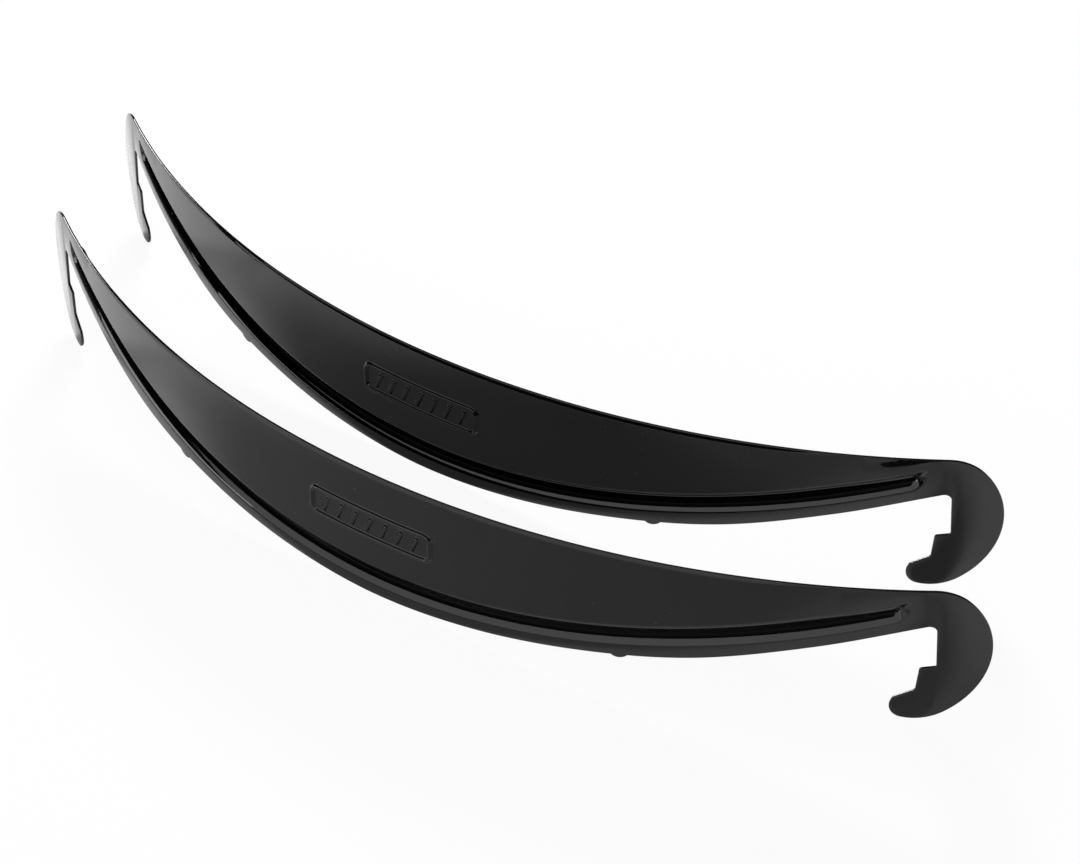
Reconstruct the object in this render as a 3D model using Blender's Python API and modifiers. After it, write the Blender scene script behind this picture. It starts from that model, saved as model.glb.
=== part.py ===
"""Two pressed-steel curved strips with a hook at each end, standing side by side.

Each strip is a flat blank, cut to its outline, pressed, and rolled round a vertical axis.
The blank lies in (along, up) coordinates: along is the distance round the outer face from
the middle of the strip, up is the height over the middle of the lower edge. A strip's own
origin is on the axis it is rolled round, at the height of the middle of its lower edge,
and its outer face looks towards -Y. All lengths are in metres, all angles in radians.
"""

import math

import bmesh
import bpy
from mathutils import Vector

# Sheet and roll
ROLL_RADIUS = 0.250
SHEET = 0.0008

# Outline of the blank: the straight top edge, and the lower edge's rise at even stations
TOP = 0.0404
STATION = 0.030
EDGE_RISE = (0.0, 0.00165, 0.0056, 0.0112, 0.0201, 0.0294, 0.0355)
TAB_ALONG = 0.0716
TAB_HALF_WIDTH = 0.0021
TAB_DROP = 0.0009

# Outline of the hook: its back is one large arc, blended into the top edge, the heel and the toe
BACK_CENTRE = Vector((0.1410, 0.0195))
BACK_RADIUS = 0.0238
SHOULDER_RADIUS = 0.0135
HEEL_RADIUS = 0.0133
HEEL_START = math.radians(-54)
TOE_RADIUS = 0.0042
TOE_START = math.radians(-105)
TOE_END = math.radians(-195)

# Mouth of the hook: corners from the toe up to the lower edge, each with its rounding
TOE_TIP = (Vector((0.1413, 0.0048)), 0.0006)
TOE_ROOT = (Vector((0.14665, 0.0076)), 0.0008)
LEDGE_LIP = (Vector((0.1470, 0.0149)), 0.0007)
LEDGE_ROOT = (Vector((0.15115, 0.0155)), 0.0003)
MOUTH_TOP_ALONG = 0.1499
MOUTH_TOP_RADIUS = 0.0020

# Stiffening groove, pressed inwards: its middle line is a hyperbola
GROOVE_UP = 0.00705
GROOVE_RISE = 0.0790
GROOVE_SPREAD = 0.157
GROOVE_END = 0.1378
GROOVE_DEPTH = 0.0030
GROOVE_LOWER_HALF = 0.00305
GROOVE_UPPER_HALF = 0.0028
LOWER_LIP_RADIUS = 0.0020
LOWER_WALL = math.radians(50)
UPPER_LIP_RADIUS = 0.0009
UPPER_WALL = math.radians(68)
GROOVE_BLEND = 0.0007

# Plain raised frame in the middle of the outer face
FRAME_UP = 0.0235
FRAME_HALF_LENGTH = 0.0188
FRAME_HALF_HEIGHT = 0.0041
FRAME_CORNER = 0.0022
FRAME_RIB = 0.0010
FRAME_RAISE = 0.0004
FRAME_SLOPE = 0.0005

# Top edge, turned back a little between the hooks
CURL_RADIUS = 0.0012
CURL_TURN = math.radians(70)
CURL_FULL_TO = 0.100
CURL_GONE_AT = 0.128

# How the pair stands: each strip leans on the middle of its lower edge and its two heels
PLACES = {
    "rear_shield": (Vector((-0.01114, 0.25123)), 0.0),
    "front_shield": (Vector((0.00760, 0.19823)), math.radians(1.03)),
}

# Fineness of the outline: the number of steps along each stretch
EDGE_STEPS = 24
EDGE_RUN_OUT = 0.004
TAB_STEPS = 6
CORNER_STEPS = 3
TOE_STEPS = 7
HEEL_STEPS = 5
BACK_STEPS = 14
SHOULDER_STEPS = 5

# Fineness of the blank's grid: columns along it, and rows that follow the groove and the curl
COLUMN_STEP = 0.006
PLAIN_COLUMNS = 22
HOOK_STEP = 0.002
HOOK_COLUMNS = 16
GROOVE_END_STEP = 0.0013
GROOVE_END_COLUMNS = 4
GROOVE_ROWS = (-0.0032, -0.0024, -0.0016, -0.0004, 0.0004, 0.0011, 0.0019, 0.0028)
CURL_ROWS = (1.0, 0.6, 0.25)
PANEL_LOW = 0.013
PANEL_HIGH = 0.036
SMALLEST_EDGE = 0.00005

ENAMEL_COLOUR = (0.012, 0.012, 0.013, 1.0)
ENAMEL_ROUGHNESS = 0.12


def clear_scene():
    for obj in list(bpy.data.objects):
        bpy.data.objects.remove(obj, do_unlink=True)


def edge_height(along):
    """Height of the lower edge: an even curve through the stations."""
    place = abs(along) / STATION
    left = min(int(place), len(EDGE_RISE) - 3)
    t = place - left
    p0 = EDGE_RISE[abs(left - 1)]
    p1, p2, p3 = EDGE_RISE[left], EDGE_RISE[left + 1], EDGE_RISE[left + 2]
    slope = p2 - p0
    curve = 2 * p0 - 5 * p1 + 4 * p2 - p3
    twist = -p0 + 3 * p1 - 3 * p2 + p3
    return 0.5 * (2 * p1 + slope * t + curve * t * t + twist * t**3)


def groove_height(along):
    """Height of the groove's middle line."""
    return GROOVE_UP + GROOVE_RISE * (math.hypot(1, along / GROOVE_SPREAD) - 1)


def groove_slope(along):
    spread = along / GROOVE_SPREAD
    return GROOVE_RISE / GROOVE_SPREAD * spread / math.hypot(1, spread)


def on_circle(centre, radius, angle):
    return centre + radius * Vector((math.cos(angle), math.sin(angle)))


def arc(centre, radius, start, end, steps):
    return [
        on_circle(centre, radius, start + (end - start) * i / steps)
        for i in range(steps + 1)
    ]


def rounded(before, corner, after, radius):
    """Points of the arc that rounds a corner between two straight runs."""
    back = (before - corner).normalized()
    ahead = (after - corner).normalized()
    half = back.angle(ahead) / 2
    centre = corner + (back + ahead).normalized() * radius / math.sin(half)
    first = corner + back * radius / math.tan(half) - centre
    last = corner + ahead * radius / math.tan(half) - centre
    points = []
    for i in range(CORNER_STEPS + 1):
        spoke = first.lerp(last, i / CORNER_STEPS).normalized() * radius
        points.append(centre + spoke)
    return points


def hook_outline():
    """From the lower edge round the mouth, toe, heel and back up to the top edge."""
    heel_centre = on_circle(BACK_CENTRE, BACK_RADIUS - HEEL_RADIUS, HEEL_START)
    toe_centre = on_circle(heel_centre, HEEL_RADIUS - TOE_RADIUS, TOE_START)
    rise = TOP - SHOULDER_RADIUS - BACK_CENTRE.y
    shoulder_start = math.asin(rise / (BACK_RADIUS - SHOULDER_RADIUS))
    shoulder_centre = on_circle(
        BACK_CENTRE, BACK_RADIUS - SHOULDER_RADIUS, shoulder_start
    )
    mouth_top = Vector((MOUTH_TOP_ALONG, edge_height(MOUTH_TOP_ALONG)))
    on_edge = MOUTH_TOP_ALONG - EDGE_RUN_OUT
    edge_point = Vector((on_edge, edge_height(on_edge)))
    toe_side = on_circle(toe_centre, TOE_RADIUS, TOE_END)
    corners = [
        (edge_point, 0),
        (mouth_top, MOUTH_TOP_RADIUS),
        LEDGE_ROOT,
        LEDGE_LIP,
        TOE_ROOT,
        TOE_TIP,
        (toe_side, 0),
    ]
    points = []
    for i in range(1, len(corners) - 1):
        corner, radius = corners[i]
        points += rounded(corners[i - 1][0], corner, corners[i + 1][0], radius)
    up = math.pi / 2
    points += arc(toe_centre, TOE_RADIUS, TOE_END, TOE_START, TOE_STEPS)
    points += arc(heel_centre, HEEL_RADIUS, TOE_START, HEEL_START, HEEL_STEPS)[1:]
    points += arc(BACK_CENTRE, BACK_RADIUS, HEEL_START, shoulder_start, BACK_STEPS)[1:]
    points += arc(shoulder_centre, SHOULDER_RADIUS, shoulder_start, up, SHOULDER_STEPS)[1:]
    return points


def lower_edge():
    """From the middle of the lower edge to the mouth of the hook, with its small tab."""
    points = []
    reach = MOUTH_TOP_ALONG - EDGE_RUN_OUT
    for i in range(EDGE_STEPS):
        along = reach * i / EDGE_STEPS
        if abs(along - TAB_ALONG) > 1.4 * TAB_HALF_WIDTH:
            points.append(Vector((along, edge_height(along))))
    for i in range(TAB_STEPS + 1):
        turn = math.pi * i / TAB_STEPS
        along = TAB_ALONG - TAB_HALF_WIDTH * math.cos(turn)
        points.append(Vector((along, edge_height(along) - TAB_DROP * math.sin(turn))))
    return sorted(points, key=lambda point: point.x)


def outline():
    """The whole blank, anticlockwise seen from outside."""
    right = lower_edge() + hook_outline()
    left = [Vector((-point.x, point.y)) for point in reversed(right) if point.x > 0]
    return right + left


def ramp(inside, lip_radius, wall):
    """Depth of a wall that starts with a rounded lip and then falls at the angle wall."""
    if inside <= 0:
        return 0.0
    run = lip_radius * math.sin(wall)
    if inside < run:
        return lip_radius - math.sqrt(lip_radius**2 - inside**2)
    return lip_radius * (1 - math.cos(wall)) + (inside - run) * math.tan(wall)


def soft_min(a, b, blend):
    overlap = max(blend - abs(a - b), 0) / blend
    return min(a, b) - overlap * overlap * blend / 4


def groove_depth(along, up):
    """The lower wall and both ends slope gently, the upper wall is steep."""
    flatness = 1 / math.hypot(1, groove_slope(along))
    above = (up - groove_height(along)) * flatness
    reach = 2 * GROOVE_LOWER_HALF
    from_middle = above - (reach - GROOVE_LOWER_HALF) / 2
    past_end = max(abs(along) - GROOVE_END, 0)
    gentle = 0.75 * reach - math.hypot(from_middle, past_end)
    from_lower = ramp(gentle, LOWER_LIP_RADIUS, LOWER_WALL)
    from_upper = ramp(GROOVE_UPPER_HALF - above, UPPER_LIP_RADIUS, UPPER_WALL)
    depth = soft_min(from_lower, from_upper, GROOVE_BLEND)
    return max(soft_min(depth, GROOVE_DEPTH, GROOVE_BLEND), 0)


def frame_raise(along, up):
    """Height of the rounded rectangular rib, with sloping sides."""
    over_x = max(abs(along) - FRAME_HALF_LENGTH + FRAME_CORNER, 0)
    over_y = max(abs(up - FRAME_UP) - FRAME_HALF_HEIGHT + FRAME_CORNER, 0)
    inner = max(
        abs(along) - FRAME_HALF_LENGTH, abs(up - FRAME_UP) - FRAME_HALF_HEIGHT
    )
    corner = math.hypot(over_x, over_y) - FRAME_CORNER
    off_rib = abs(corner if over_x > 0 and over_y > 0 else inner)
    fall = (off_rib - FRAME_RIB / 2) / FRAME_SLOPE
    return FRAME_RAISE * min(max(1 - fall, 0), 1)


def curl_depth(along, up):
    """How far the top edge is turned back at this point."""
    fade = (CURL_GONE_AT - abs(along)) / (CURL_GONE_AT - CURL_FULL_TO)
    rise = up - (TOP - CURL_RADIUS * math.sin(CURL_TURN))
    if rise <= 0 or fade <= 0:
        return 0.0
    turned = math.asin(min(rise / CURL_RADIUS, math.sin(CURL_TURN)))
    return CURL_RADIUS * (1 - math.cos(turned)) * min(fade, 1)


def cut(bm, geometry, point, normal):
    bmesh.ops.bisect_plane(
        bm,
        geom=geometry,
        dist=1e-7,
        plane_co=Vector((*point, 0)),
        plane_no=Vector((*normal, 0)),
    )


def everything(bm):
    return bm.verts[:] + bm.edges[:] + bm.faces[:]


def column_places():
    """Where the blank is divided along its length, on both sides of the middle."""
    places = [COLUMN_STEP * i for i in range(PLAIN_COLUMNS + 1)]
    places += [places[-1] + HOOK_STEP * i for i in range(1, HOOK_COLUMNS + 1)]
    places += [GROOVE_END + GROOVE_END_STEP * i for i in range(GROOVE_END_COLUMNS)]
    return sorted({sign * place for place in places for sign in (-1, 1)})


def divide(bm):
    """Cuts the flat blank into columns, and into rows that follow the groove and the curl."""
    for along in column_places():
        cut(bm, everything(bm), (along, 0), (1, 0))
    for vert in bm.verts:
        vert.co.y -= groove_height(vert.co.x)
    for above in GROOVE_ROWS:
        cut(bm, everything(bm), (0, above), (0, 1))
    for vert in bm.verts:
        vert.co.y += groove_height(vert.co.x)
    for below in CURL_ROWS:
        cut(bm, everything(bm), (0, TOP - CURL_RADIUS * math.sin(CURL_TURN) * below), (0, 1))
    reach = FRAME_HALF_LENGTH + FRAME_RIB + FRAME_SLOPE
    for offset in (-1, -0.5, 0.5, 1):
        shift = offset * (FRAME_RIB / 2 + FRAME_SLOPE * (abs(offset) > 0.9))
        for sign in (-1, 1):
            along = sign * (FRAME_HALF_LENGTH + shift)
            cut_faces(bm, panel_faces(bm, reach), (along, 0), (1, 0))
            up = FRAME_UP + sign * (FRAME_HALF_HEIGHT + shift)
            cut_faces(bm, panel_faces(bm, reach), (0, up), (0, 1))


def panel_faces(bm, reach):
    """The faces of the plain panel around the raised frame."""
    return [
        face
        for face in bm.faces
        if abs(face.calc_center_median().x) < reach + COLUMN_STEP / 2
        and PANEL_LOW < face.calc_center_median().y < PANEL_HIGH
    ]


def cut_faces(bm, faces, point, normal):
    edges = {edge for face in faces for edge in face.edges}
    verts = {vert for face in faces for vert in face.verts}
    cut(bm, list(verts) + list(edges) + faces, point, normal)


def press_and_roll(bm):
    for vert in bm.verts:
        along, up = vert.co.x, vert.co.y
        inward = groove_depth(along, up) + curl_depth(along, up)
        radius = ROLL_RADIUS - inward + frame_raise(along, up)
        turn = along / ROLL_RADIUS
        vert.co = Vector((radius * math.sin(turn), -radius * math.cos(turn), up))


def strip_mesh(material):
    bm = bmesh.new()
    bm.faces.new([bm.verts.new((point.x, point.y, 0)) for point in outline()])
    divide(bm)
    bmesh.ops.dissolve_degenerate(bm, dist=SMALLEST_EDGE, edges=bm.edges[:])
    press_and_roll(bm)
    bmesh.ops.triangulate(bm, faces=[f for f in bm.faces if len(f.verts) > 4])
    mesh = bpy.data.meshes.new("pressed_strip")
    bm.to_mesh(mesh)
    bm.free()
    mesh.materials.append(material)
    mesh.shade_smooth()
    return mesh


def enamel():
    material = bpy.data.materials.new("black_enamel")
    material.use_nodes = True
    shader = material.node_tree.nodes["Principled BSDF"]
    shader.inputs["Base Color"].default_value = ENAMEL_COLOUR
    shader.inputs["Metallic"].default_value = 0.0
    shader.inputs["Roughness"].default_value = ENAMEL_ROUGHNESS
    return material


def lean_angle():
    """The lean at which the middle of the lower edge and both heels touch the ground."""
    heel = on_circle(BACK_CENTRE, BACK_RADIUS - HEEL_RADIUS, HEEL_START)
    drop = HEEL_RADIUS - heel.y
    reach = ROLL_RADIUS * (1 - math.cos(heel.x / ROLL_RADIUS))
    return math.atan(drop / reach)


def stand(name, mesh, collection):
    place, turn = PLACES[name]
    lean = lean_angle()
    obj = bpy.data.objects.new(name, mesh)
    collection.objects.link(obj)
    obj.rotation_euler = (lean, 0, turn)
    obj.location = (place.x, place.y, ROLL_RADIUS * math.sin(lean))
    solid = obj.modifiers.new("sheet", "SOLIDIFY")
    solid.thickness = SHEET
    solid.offset = -1
    solid.use_even_offset = False


def main():
    clear_scene()
    collection = bpy.data.collections.new("hook_on_shield_pair")
    bpy.context.scene.collection.children.link(collection)
    mesh = strip_mesh(enamel())
    for name in PLACES:
        stand(name, mesh, collection)


main()
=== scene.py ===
"""The looks of two black-enamelled curved steel shields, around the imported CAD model.

Each shield is one pressed sheet. Its blank lies in (along, up): along is the distance round
the outer face from the middle, up the height over the middle of the lower edge. The blank is
cut to its outline, divided into a fine grid, pressed, rolled, given its thickness with
rounded edges, and stood where the CAD node stands. Lengths are in metres.
"""

import math

import bmesh
import bpy
from mathutils import Euler, Matrix, Vector


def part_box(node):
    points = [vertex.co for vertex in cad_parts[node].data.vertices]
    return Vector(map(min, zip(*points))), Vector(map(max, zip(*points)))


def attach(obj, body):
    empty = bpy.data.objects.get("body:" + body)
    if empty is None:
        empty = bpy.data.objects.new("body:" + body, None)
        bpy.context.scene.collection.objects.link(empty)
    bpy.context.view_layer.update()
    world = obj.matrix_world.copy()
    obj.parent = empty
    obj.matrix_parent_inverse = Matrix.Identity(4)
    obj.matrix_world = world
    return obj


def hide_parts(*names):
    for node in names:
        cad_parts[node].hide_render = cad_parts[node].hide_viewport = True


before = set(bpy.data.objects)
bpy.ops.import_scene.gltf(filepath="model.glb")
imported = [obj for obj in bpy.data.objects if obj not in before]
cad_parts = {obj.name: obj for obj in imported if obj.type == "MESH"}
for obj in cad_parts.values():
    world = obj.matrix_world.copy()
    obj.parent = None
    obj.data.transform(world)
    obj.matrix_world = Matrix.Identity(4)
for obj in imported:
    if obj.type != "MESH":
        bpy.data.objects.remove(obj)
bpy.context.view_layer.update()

# Camera
CAMERA_PLACE = Vector((0.3481, -0.5007, 0.4590))
CAMERA_LEFT_OF_Y = math.radians(32.50)
CAMERA_DOWN = math.radians(35.80)
CAMERA_ROLL = math.radians(3.60)
CAMERA_LENS_MM = 91.45
SENSOR_MM = 36.0
CAMERA_REACH = (0.01, 20)

# Sheet and roll
ROLL_RADIUS = 0.250
SHEET = 0.0008
EDGE_ROUND = 0.0003
EDGE_STEPS = 4
TURNS = {"rear_shield": 0.0, "front_shield": math.radians(1.03)}

# Outline of the blank: the straight top edge, and the lower edge's rise at even stations
TOP = 0.0404
STATION = 0.030
EDGE_RISE = (0.0, 0.00165, 0.0056, 0.0112, 0.0201, 0.0294, 0.0355)
TAB_ALONG = 0.0716
TAB_HALF_WIDTH = 0.0021
TAB_DROP = 0.0009
TAB_FOOT = 1.5
TAB_MARGIN = 1.2

# Outline of the hook
BACK_CENTRE = Vector((0.1410, 0.0195))
BACK_RADIUS = 0.0238
SHOULDER_RADIUS = 0.0135
HEEL_RADIUS = 0.0133
HEEL_START = math.radians(-54)
TOE_RADIUS = 0.0042
TOE_START = math.radians(-105)
TOE_END = math.radians(-195)
TOE_TIP = (Vector((0.1413, 0.0048)), 0.0006)
TOE_ROOT = (Vector((0.14665, 0.0076)), 0.0008)
LEDGE_LIP = (Vector((0.1470, 0.0149)), 0.0007)
LEDGE_ROOT = (Vector((0.15115, 0.0155)), 0.0003)
MOUTH_TOP_ALONG = 0.1499
MOUTH_TOP_RADIUS = 0.0020

# Stiffening groove, pressed inwards: its middle line is a hyperbola
GROOVE_UP = 0.00705
GROOVE_RISE = 0.0790
GROOVE_SPREAD = 0.157
GROOVE_END = 0.1430
GROOVE_END_ROUND = 0.0040
GROOVE_DEPTH = 0.0036
GROOVE_TAPERS_FROM = 0.115
GROOVE_FLOOR_RISES = 0.0007
GROOVE_TOP_CLOSES = 0.0008
GROOVE_LOWER_HALF = 0.00395
GROOVE_UPPER_HALF = 0.0029
LOWER_LIP_RADIUS = 0.0009
LOWER_WALL = math.radians(39)
LOWER_WALL_BEND = 0.0025
UPPER_LIP_RADIUS = 0.0006
UPPER_WALL = math.radians(55)
GROOVE_BLEND = 0.0007

# Plain raised frame, and the row of slanted bars that fills it
FRAME_UP = 0.0235
FRAME_HALF_LENGTH = 0.0188
FRAME_HALF_HEIGHT = 0.0041
FRAME_CORNER = 0.0022
RAISE = 0.0008
CREST_RADIUS = 0.0006
RIB_WALL = math.radians(58)
BAR_COUNT = 7
BAR_PITCH = 0.0047
BAR_HALF_HEIGHT = 0.0020
BAR_SLANT = math.radians(24)

# Top edge, turned back between the hooks
CURL_RISE = 0.0015
CURL_RADIUS = 0.0030
CURL_TURN = math.radians(20)
CURL_FULL_TO = 0.095
CURL_GONE_AT = 0.125

# Black enamel: colours, roughness and the sizes of its patterns (per metre)
BLACK_COOL = (0.0014, 0.0015, 0.0021, 1)
BLACK_WARM = (0.0024, 0.0022, 0.0019, 1)
BLACK_SPREAD = 0.5
SPECK_GREY = (0.04, 0.04, 0.04, 1)
NOISE_RANGE = (0.3, 0.7)
CLOUD_SCALE = 30
CLOUD_DETAIL = 3
HAZE_SCALE = 90
HAZE_DETAIL = 6
GLOSS_ROUGHNESS = (0.03, 0.08)
PEEL_SCALE = 380
PEEL_DETAIL = 1.5
PEEL_HEIGHT = 0.000012
SPECK_SCALE = 900
SPECK_SIZE = 0.22
SPECK_SHARE = 0.03
SPECK_ROUGHNESS = 0.45

# Ground: the plane that the camera sees, and the one below it that lights and reflects
GROUND_HALF_SIZE = 3.0
SHOWN_DROP = 0.0002
SHOWN_GREY = 0.05
SHOWN_GLOW = 0.94
LIT_DROP = 0.0004
LIT_GREY = 0.8
LIT_GLOW = 0.18

# World light, by the upward part of the direction
HORIZON_LIGHT = 0.32
HORIZON_REACH = 0.35
OVERHEAD_FROM = 0.7
OVERHEAD_LIGHT = 0.3

# Softboxes: name, place, width, height, watts, whether it lights, whether it reflects
SOFTBOXES = (
    ("key", (-0.95, 1.3, 0.95), 0.6, 0.6, 58, True, False),
    ("fill", (0.0, -1.2, 0.5), 2.0, 0.6, 14, True, False),
    ("glint", (-1.215, 0.31, 0.825), 0.70, 0.15, 13.0, False, True),
    ("front_strip", (0.00, -1.08, 0.50), 1.8, 0.80, 6.0, False, True),
    ("left_strip", (-0.88, -0.79, 0.24), 0.45, 0.30, 1.7, False, True),
)

# Fineness of the outline and of the blank's grid
EDGE_POINTS = 110
EDGE_RUN_OUT = 0.004
TAB_POINTS = 14
CORNER_POINTS = 6
TOE_POINTS = 16
HEEL_POINTS = 16
BACK_POINTS = 48
SHOULDER_POINTS = 18
COLUMN_STEP = 0.0015
FINE_STEP = 0.0002
FRAME_REACH = 0.0215
FRAME_LOW = 0.0180
FRAME_HIGH = 0.0290
FRAME_ROWS_BELOW = 0.006
FRAME_ROWS_ABOVE = 0.012
GROOVE_REACH = 0.1440
GROOVE_ROW_STEP = 0.0002
GROOVE_ROWS_BELOW = 24
GROOVE_ROWS_ABOVE = 21
CURL_ROWS = 16
CURL_SUPPORT_ROWS = 6
CUT_TOLERANCE = 1e-7
SMALLEST_EDGE = 0.00003
NORMAL_STEP = 0.00003


def edge_height(along):
    """Height of the lower edge: an even curve through the stations."""
    place = abs(along) / STATION
    left = min(int(place), len(EDGE_RISE) - 3)
    t = place - left
    p0 = EDGE_RISE[abs(left - 1)]
    p1, p2, p3 = EDGE_RISE[left], EDGE_RISE[left + 1], EDGE_RISE[left + 2]
    slope = p2 - p0
    curve = 2 * p0 - 5 * p1 + 4 * p2 - p3
    twist = -p0 + 3 * p1 - 3 * p2 + p3
    return 0.5 * (2 * p1 + slope * t + curve * t * t + twist * t**3)


def groove_height(along):
    """Height of the groove's middle line."""
    return GROOVE_UP + GROOVE_RISE * (math.hypot(1, along / GROOVE_SPREAD) - 1)


def groove_slope(along):
    spread = along / GROOVE_SPREAD
    return GROOVE_RISE / GROOVE_SPREAD * spread / math.hypot(1, spread)


def on_circle(centre, radius, angle):
    return centre + radius * Vector((math.cos(angle), math.sin(angle)))


def arc(centre, radius, start, end, steps):
    return [
        on_circle(centre, radius, start + (end - start) * i / steps)
        for i in range(steps + 1)
    ]


def rounded(before, corner, after, radius):
    """Points of the arc that rounds a corner between two straight runs."""
    back = (before - corner).normalized()
    ahead = (after - corner).normalized()
    half = back.angle(ahead) / 2
    centre = corner + (back + ahead).normalized() * radius / math.sin(half)
    first = corner + back * radius / math.tan(half) - centre
    last = corner + ahead * radius / math.tan(half) - centre
    points = []
    for i in range(CORNER_POINTS + 1):
        spoke = first.lerp(last, i / CORNER_POINTS).normalized() * radius
        points.append(centre + spoke)
    return points


def hook_outline():
    """From the lower edge round the mouth, toe, heel and back up to the top edge."""
    heel_centre = on_circle(BACK_CENTRE, BACK_RADIUS - HEEL_RADIUS, HEEL_START)
    toe_centre = on_circle(heel_centre, HEEL_RADIUS - TOE_RADIUS, TOE_START)
    rise = TOP - SHOULDER_RADIUS - BACK_CENTRE.y
    shoulder_start = math.asin(rise / (BACK_RADIUS - SHOULDER_RADIUS))
    shoulder_centre = on_circle(
        BACK_CENTRE, BACK_RADIUS - SHOULDER_RADIUS, shoulder_start
    )
    mouth_top = Vector((MOUTH_TOP_ALONG, edge_height(MOUTH_TOP_ALONG)))
    on_edge = MOUTH_TOP_ALONG - EDGE_RUN_OUT
    edge_point = Vector((on_edge, edge_height(on_edge)))
    toe_side = on_circle(toe_centre, TOE_RADIUS, TOE_END)
    corners = [
        (edge_point, 0),
        (mouth_top, MOUTH_TOP_RADIUS),
        LEDGE_ROOT,
        LEDGE_LIP,
        TOE_ROOT,
        TOE_TIP,
        (toe_side, 0),
    ]
    points = []
    for i in range(1, len(corners) - 1):
        corner, radius = corners[i]
        points += rounded(corners[i - 1][0], corner, corners[i + 1][0], radius)
    up = math.pi / 2
    points += arc(toe_centre, TOE_RADIUS, TOE_END, TOE_START, TOE_POINTS)
    points += arc(heel_centre, HEEL_RADIUS, TOE_START, HEEL_START, HEEL_POINTS)[1:]
    points += arc(BACK_CENTRE, BACK_RADIUS, HEEL_START, shoulder_start, BACK_POINTS)[1:]
    points += arc(shoulder_centre, SHOULDER_RADIUS, shoulder_start, up, SHOULDER_POINTS)[1:]
    return points


def lower_edge():
    """From the middle of the lower edge to the mouth of the hook, with its small tab."""
    points = []
    reach = MOUTH_TOP_ALONG - EDGE_RUN_OUT
    for i in range(EDGE_POINTS):
        along = reach * i / EDGE_POINTS
        if abs(along - TAB_ALONG) > TAB_MARGIN * TAB_HALF_WIDTH:
            points.append(Vector((along, edge_height(along))))
    for i in range(TAB_POINTS + 1):
        turn = math.pi * i / TAB_POINTS
        along = TAB_ALONG - TAB_HALF_WIDTH * math.cos(turn)
        drop = TAB_DROP * math.sin(turn) ** TAB_FOOT
        points.append(Vector((along, edge_height(along) - drop)))
    return sorted(points, key=lambda point: point.x)


def outline():
    """The whole blank, anticlockwise seen from outside."""
    right = lower_edge() + hook_outline()
    left = [Vector((-point.x, point.y)) for point in reversed(right) if point.x > 0]
    return right + left


def outward(points, i):
    """Direction square to the outline at point i, away from the sheet."""
    ahead = points[(i + 1) % len(points)] - points[i - 1]
    return Vector((ahead.y, -ahead.x)).normalized()


def ramp(inside, lip_radius, wall):
    """Depth of a wall that starts with a rounded lip and then falls at the angle wall."""
    if inside <= 0:
        return 0.0
    run = lip_radius * math.sin(wall)
    if inside < run:
        return lip_radius - math.sqrt(lip_radius**2 - inside**2)
    return lip_radius * (1 - math.cos(wall)) + (inside - run) * math.tan(wall)


def soft_min(a, b, blend):
    overlap = max(blend - abs(a - b), 0) / blend
    return min(a, b) - overlap * overlap * blend / 4


def smooth_step(t):
    t = min(max(t, 0), 1)
    return t * t * (3 - 2 * t)


def groove_depth(along, up):
    """The lower wall and both ends start gently and steepen, the upper wall is steep.

    Towards the ends the groove's floor rises a little and its upper side closes in.
    """
    flatness = 1 / math.hypot(1, groove_slope(along))
    above = (up - groove_height(along)) * flatness
    if abs(above) > 2 * GROOVE_LOWER_HALF or abs(along) > GROOVE_REACH:
        return 0.0
    inside = GROOVE_LOWER_HALF + above
    into_round = abs(along) - GROOVE_END + GROOVE_END_ROUND
    if into_round > 0:
        short_of_round = max(GROOVE_END_ROUND - inside, 0)
        inside = GROOVE_END_ROUND - math.hypot(into_round, short_of_round)
    from_lower = ramp(inside, LOWER_LIP_RADIUS, LOWER_WALL)
    from_lower += max(inside - LOWER_LIP_RADIUS, 0) ** 2 / (2 * LOWER_WALL_BEND)
    taper_length = GROOVE_END - GROOVE_TAPERS_FROM
    taper = smooth_step((abs(along) - GROOVE_TAPERS_FROM) / taper_length)
    below_top = GROOVE_UPPER_HALF - GROOVE_TOP_CLOSES * taper - above
    from_upper = ramp(below_top, UPPER_LIP_RADIUS, UPPER_WALL)
    depth = soft_min(from_lower, from_upper, GROOVE_BLEND)
    floor = GROOVE_DEPTH - GROOVE_FLOOR_RISES * taper
    return max(soft_min(depth, floor, GROOVE_BLEND), 0)


def off_frame(along, up):
    """Distance from the middle line of the rounded rectangle."""
    over_x = abs(along) - FRAME_HALF_LENGTH + FRAME_CORNER
    over_y = abs(up) - FRAME_HALF_HEIGHT + FRAME_CORNER
    beyond = math.hypot(max(over_x, 0), max(over_y, 0)) + min(max(over_x, over_y), 0)
    return abs(beyond - FRAME_CORNER)


def off_bars(along, up):
    """Distance from the nearest of the slanted bars."""
    nearest = round(along / BAR_PITCH)
    last = (BAR_COUNT - 1) / 2
    nearest = min(max(nearest, -last), last)
    lean = Vector((math.sin(BAR_SLANT), math.cos(BAR_SLANT)))
    away = Vector((along - nearest * BAR_PITCH, up))
    on_bar = min(max(away.dot(lean), -BAR_HALF_HEIGHT), BAR_HALF_HEIGHT)
    return (away - on_bar * lean).length


def raise_height(along, up):
    """Height of the pressed frame and bars over the panel: round crests, sharp feet."""
    if abs(along) > FRAME_REACH or not FRAME_LOW < up < FRAME_HIGH:
        return 0.0
    away = min(off_frame(along, up - FRAME_UP), off_bars(along, up - FRAME_UP))
    return max(RAISE - ramp(away, CREST_RADIUS, RIB_WALL), 0)


def curl_depth(along, up):
    """How far the top edge is turned back at this point."""
    fade = smooth_step((CURL_GONE_AT - abs(along)) / (CURL_GONE_AT - CURL_FULL_TO))
    return ramp(up - TOP + CURL_RISE, CURL_RADIUS, CURL_TURN) * fade


def pressed(along, up):
    """A point of the outer face after pressing and rolling."""
    inward = groove_depth(along, up) + curl_depth(along, up) - raise_height(along, up)
    radius = ROLL_RADIUS - inward
    turn = along / ROLL_RADIUS
    return Vector((radius * math.sin(turn), -radius * math.cos(turn), up))


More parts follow.
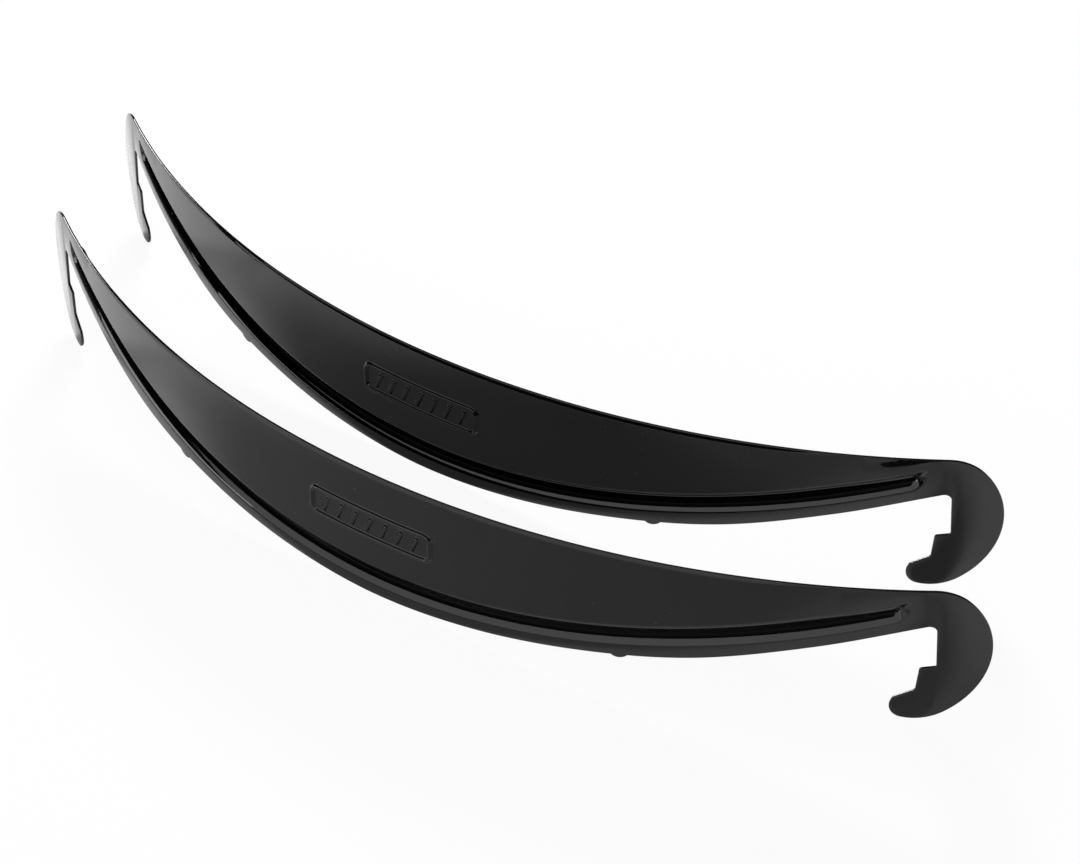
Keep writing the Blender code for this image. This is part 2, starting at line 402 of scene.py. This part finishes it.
def in_sheet(along, up, depth):
    """A point at this depth in the sheet, measured square to the pressed outer face."""
    step = NORMAL_STEP
    ahead = pressed(along + step, up) - pressed(along - step, up)
    above = pressed(along, up + step) - pressed(along, up - step)
    return pressed(along, up) - ahead.cross(above).normalized() * depth


def cut(bm, faces, point, normal):
    edges = {edge for face in faces for edge in face.edges}
    verts = {vert for face in faces for vert in face.verts}
    bmesh.ops.bisect_plane(
        bm,
        geom=list(verts) + list(edges) + list(faces),
        dist=CUT_TOLERANCE,
        plane_co=Vector((*point, 0)),
        plane_no=Vector((*normal, 0)),
    )


def faces_within(bm, reach, low=-1.0, high=1.0):
    found = []
    for face in bm.faces:
        middle = face.calc_center_median()
        if abs(middle.x) < reach and low < middle.y < high:
            found.append(face)
    return found


def column_places():
    """Where the blank is divided along its length, on both sides of the middle."""
    places = [FINE_STEP * i for i in range(round(FRAME_REACH / FINE_STEP) + 1)]
    while places[-1] + COLUMN_STEP < GROOVE_END - GROOVE_END_ROUND:
        places.append(places[-1] + COLUMN_STEP)
    while places[-1] + FINE_STEP < GROOVE_REACH:
        places.append(places[-1] + FINE_STEP)
    while places[-1] + COLUMN_STEP < BACK_CENTRE.x + BACK_RADIUS:
        places.append(places[-1] + COLUMN_STEP)
    return sorted({sign * place for place in places for sign in (-1, 1)})


def divide(bm):
    """Cuts the flat blank into a grid, finest round the groove, the curl and the frame."""
    for along in column_places():
        cut(bm, bm.faces[:], (along, 0), (1, 0))
    for vert in bm.verts:
        vert.co.y -= groove_height(vert.co.x)
    for i in range(-GROOVE_ROWS_BELOW, GROOVE_ROWS_ABOVE + 1):
        above = GROOVE_ROW_STEP * i
        cut(bm, faces_within(bm, GROOVE_REACH), (0, above), (0, 1))
    for vert in bm.verts:
        vert.co.y += groove_height(vert.co.x)
    row_step = CURL_RISE / CURL_ROWS
    for i in range(-CURL_SUPPORT_ROWS, CURL_ROWS):
        up = TOP - CURL_RISE + row_step * i
        low = GROOVE_UP if i == -CURL_SUPPORT_ROWS else up - row_step
        cut(bm, faces_within(bm, CURL_GONE_AT, low), (0, up), (0, 1))
    low = FRAME_LOW - FRAME_ROWS_BELOW
    high = FRAME_HIGH + FRAME_ROWS_ABOVE
    for i in range(round((FRAME_HIGH - FRAME_LOW) / FINE_STEP) + 1):
        up = FRAME_LOW + FINE_STEP * i
        cut(bm, faces_within(bm, FRAME_REACH, low, high), (0, up), (0, 1))


def boundary_loop(bm):
    """The vertices round the blank, in the order of its faces."""
    loop = next(loop for face in bm.faces for loop in face.loops if loop.edge.is_boundary)
    start = loop
    found = []
    while True:
        found.append(loop.vert)
        loop = loop.link_loop_next
        while not loop.edge.is_boundary:
            loop = loop.link_loop_radial_next.link_loop_next
        if loop is start:
            return found


def rounded_sheet(flat):
    """Closed sheet from the flat blank: outer face, rounded edge all round, inner face."""
    bm = bmesh.new()
    outer = {v: bm.verts.new(in_sheet(v.co.x, v.co.y, 0)) for v in flat.verts}
    inner = {v: bm.verts.new(in_sheet(v.co.x, v.co.y, SHEET)) for v in flat.verts}
    for face in flat.faces:
        bm.faces.new([outer[v] for v in face.verts])
        bm.faces.new([inner[v] for v in reversed(face.verts)])
    rim = boundary_loop(flat)
    points = [v.co.xy for v in rim]
    away = [outward(points, i) for i in range(len(points))]
    rings = [[outer[v] for v in rim]]
    for half in (0, 1):
        for i in range(EDGE_STEPS):
            turn = math.pi / 2 * (i + 1 - half) / EDGE_STEPS + half * math.pi / 2
            out = EDGE_ROUND * math.sin(turn)
            depth = EDGE_ROUND * (1 - math.cos(turn))
            depth += half * (SHEET - 2 * EDGE_ROUND)
            ring = []
            for point, side in zip(points, away):
                place = point + side * out
                ring.append(bm.verts.new(in_sheet(place.x, place.y, depth)))
            rings.append(ring)
    rings.append([inner[v] for v in rim])
    for near, far in zip(rings, rings[1:]):
        for i in range(len(rim)):
            bm.faces.new((near[i], near[i - 1], far[i - 1], far[i]))
    return bm


def strip_mesh():
    """One shield in its own upright position."""
    points = outline()
    inset = [
        point - EDGE_ROUND * outward(points, i) for i, point in enumerate(points)
    ]
    flat = bmesh.new()
    flat.faces.new([flat.verts.new((point.x, point.y, 0)) for point in inset])
    divide(flat)
    bmesh.ops.dissolve_degenerate(flat, dist=SMALLEST_EDGE, edges=flat.edges[:])
    bm = rounded_sheet(flat)
    flat.free()
    mesh = bpy.data.meshes.new("pressed_sheet")
    bm.to_mesh(mesh)
    bm.free()
    mesh.shade_smooth()
    return mesh


def lean_angle():
    """The lean at which the middle of the lower edge and both heels touch the ground."""
    heel = on_circle(BACK_CENTRE, BACK_RADIUS - HEEL_RADIUS, HEEL_START)
    drop = HEEL_RADIUS - heel.y
    reach = ROLL_RADIUS * (1 - math.cos(heel.x / ROLL_RADIUS))
    return math.atan(drop / reach)


def corners_of(mesh):
    low = Vector(min(v.co[i] for v in mesh.vertices) for i in range(3))
    high = Vector(max(v.co[i] for v in mesh.vertices) for i in range(3))
    return low, high


def stand(mesh, node):
    """Leans and turns a shield, and moves it to where the CAD node stands."""
    mesh.transform(Euler((lean_angle(), 0, TURNS[node])).to_matrix().to_4x4())
    low, high = corners_of(mesh)
    cad_low, cad_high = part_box(node)
    shift = (cad_low + cad_high - low - high) / 2
    shift.z = cad_low.z - low.z
    mesh.transform(Matrix.Translation(shift))


def add_node(tree, kind, **values):
    node = tree.nodes.new(kind)
    for name, value in values.items():
        if name in node.inputs:
            node.inputs[name].default_value = value
        else:
            setattr(node, name, value)
    return node


def noise(tree, place, scale, detail):
    """Cloudy pattern in the piece's own space, from 0 to 1."""
    node = add_node(tree, "ShaderNodeTexNoise", Scale=scale, Detail=detail)
    tree.links.new(place.outputs["Object"], node.inputs["Vector"])
    return node.outputs["Fac"]


def remap(tree, value, start, end, low, high):
    """Takes start..end to low..high, and no further."""
    limits = {"From Min": start, "From Max": end, "To Min": low, "To Max": high}
    node = add_node(tree, "ShaderNodeMapRange", **limits)
    tree.links.new(value, node.inputs["Value"])
    return node.outputs[0]


def combine(tree, operation, first, second):
    node = add_node(tree, "ShaderNodeMath", operation=operation)
    tree.links.new(first, node.inputs[0])
    tree.links.new(second, node.inputs[1])
    return node.outputs[0]


def specks(tree, place):
    """Mask of sparse tiny dots, one where a speck lies."""
    cells = add_node(tree, "ShaderNodeTexVoronoi", Scale=SPECK_SCALE)
    tree.links.new(place.outputs["Object"], cells.inputs["Vector"])
    dot = remap(tree, cells.outputs["Distance"], SPECK_SIZE, SPECK_SIZE / 2, 0, 1)
    lot = add_node(tree, "ShaderNodeSeparateColor")
    tree.links.new(cells.outputs["Color"], lot.inputs[0])
    chosen = remap(tree, lot.outputs[0], 1 - SPECK_SHARE, 1 - SPECK_SHARE / 2, 0, 1)
    return combine(tree, "MULTIPLY", dot, chosen)


def enamel():
    """Vitreous black enamel: a deep gloss with faint orange peel, haze and a few specks."""
    material = bpy.data.materials.new("black_enamel")
    material.use_nodes = True
    tree = material.node_tree
    shader = tree.nodes["Principled BSDF"]
    place = add_node(tree, "ShaderNodeTexCoord")
    dots = specks(tree, place)

    colour = add_node(tree, "ShaderNodeValToRGB")
    stops = colour.color_ramp.elements
    stops[0].position, stops[0].color = 0.0, BLACK_COOL
    stops[1].position, stops[1].color = 1.0, SPECK_GREY
    stops.new(BLACK_SPREAD).color = BLACK_WARM
    clouds = noise(tree, place, CLOUD_SCALE, CLOUD_DETAIL)
    clouds = remap(tree, clouds, *NOISE_RANGE, 0, BLACK_SPREAD)
    tree.links.new(combine(tree, "MAXIMUM", clouds, dots), colour.inputs["Fac"])
    tree.links.new(colour.outputs["Color"], shader.inputs["Base Color"])

    haze = noise(tree, place, HAZE_SCALE, HAZE_DETAIL)
    haze = remap(tree, haze, *NOISE_RANGE, *GLOSS_ROUGHNESS)
    rough = combine(tree, "MAXIMUM", haze, remap(tree, dots, 0, 1, 0, SPECK_ROUGHNESS))
    tree.links.new(rough, shader.inputs["Roughness"])

    peel = add_node(tree, "ShaderNodeBump", Strength=1.0, Distance=PEEL_HEIGHT)
    bumps = noise(tree, place, PEEL_SCALE, PEEL_DETAIL)
    tree.links.new(bumps, peel.inputs["Height"])
    tree.links.new(peel.outputs["Normal"], shader.inputs["Normal"])
    return material


def shields():
    mesh = strip_mesh()
    material = enamel()
    mesh.materials.append(material)
    for node in TURNS:
        piece = bpy.data.objects.new(f"{node}_enamelled", mesh.copy())
        stand(piece.data, node)
        bpy.context.scene.collection.objects.link(piece)
        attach(piece, node)
        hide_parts(node)
    bpy.data.meshes.remove(mesh)


def camera():
    data = bpy.data.cameras.new("camera")
    data.lens = CAMERA_LENS_MM
    data.sensor_width = SENSOR_MM
    data.clip_start, data.clip_end = CAMERA_REACH
    obj = bpy.data.objects.new("camera", data)
    bpy.context.scene.collection.objects.link(obj)
    obj.location = CAMERA_PLACE
    level = Euler((math.pi / 2 - CAMERA_DOWN, 0, CAMERA_LEFT_OF_Y))
    obj.rotation_euler = (level.to_matrix() @ Matrix.Rotation(CAMERA_ROLL, 3, "Z")).to_euler()
    bpy.context.scene.camera = obj


def plane(name, height, material):
    mesh = bpy.data.meshes.new(name)
    bm = bmesh.new()
    bmesh.ops.create_grid(bm, x_segments=1, y_segments=1, size=GROUND_HALF_SIZE)
    bm.to_mesh(mesh)
    bm.free()
    mesh.materials.append(material)
    obj = bpy.data.objects.new(name, mesh)
    obj.location.z = height
    bpy.context.scene.collection.objects.link(obj)
    return obj


def pale(name, colour, glow):
    """Matt pale stage material, with a share of even glow."""
    material = bpy.data.materials.new(name)
    material.use_nodes = True
    shader = material.node_tree.nodes["Principled BSDF"]
    shader.inputs["Base Color"].default_value = (colour, colour, colour, 1)
    shader.inputs["Roughness"].default_value = 1.0
    shader.inputs["Specular IOR Level"].default_value = 0.0
    shader.inputs["Emission Color"].default_value = (1, 1, 1, 1)
    shader.inputs["Emission Strength"].default_value = glow
    return material


def softbox(name, place, width, height, watts, lights, reflects):
    """Rectangular light that faces the middle of the object."""
    light = bpy.data.lights.new(name, "AREA")
    light.shape = "RECTANGLE"
    light.size = width
    light.size_y = height
    light.energy = watts
    lamp = bpy.data.objects.new(name, light)
    lamp.location = place
    lamp.rotation_euler = (-Vector(place)).to_track_quat("-Z", "Y").to_euler()
    lamp.visible_camera = False
    lamp.visible_diffuse = lights
    lamp.visible_glossy = reflects
    bpy.context.scene.collection.objects.link(lamp)


def horizon():
    """World light: a dim band round the horizon and dim overhead; the backdrop shows white."""
    world = bpy.data.worlds.new("studio")
    bpy.context.scene.world = world
    world.use_nodes = True
    tree = world.node_tree
    sky = tree.nodes["Background"]
    sky.inputs["Color"].default_value = (1, 1, 1, 1)
    where = add_node(tree, "ShaderNodeTexCoord")
    split = add_node(tree, "ShaderNodeSeparateXYZ")
    tree.links.new(where.outputs["Generated"], split.inputs[0])
    low = remap(tree, split.outputs["Z"], 0, HORIZON_REACH, HORIZON_LIGHT, 0)
    high = remap(tree, split.outputs["Z"], OVERHEAD_FROM, 1, 0, OVERHEAD_LIGHT)
    path = add_node(tree, "ShaderNodeLightPath")
    lit = combine(tree, "ADD", low, high)
    shown = combine(tree, "MAXIMUM", lit, path.outputs["Is Camera Ray"])
    tree.links.new(shown, sky.inputs["Strength"])


def studio():
    """White ground and backdrop, a key behind on the left, and boxes that only reflect."""
    shown = plane("ground", -SHOWN_DROP, pale("ground", SHOWN_GREY, SHOWN_GLOW))
    shown.visible_glossy = False
    shown.visible_diffuse = False
    shown.visible_shadow = False
    lit = plane("lit_ground", -LIT_DROP, pale("lit_ground", LIT_GREY, LIT_GLOW))
    lit.visible_camera = False
    horizon()
    for box in SOFTBOXES:
        softbox(*box)
    bpy.context.scene.view_settings.view_transform = "Standard"


camera()
shields()
studio()
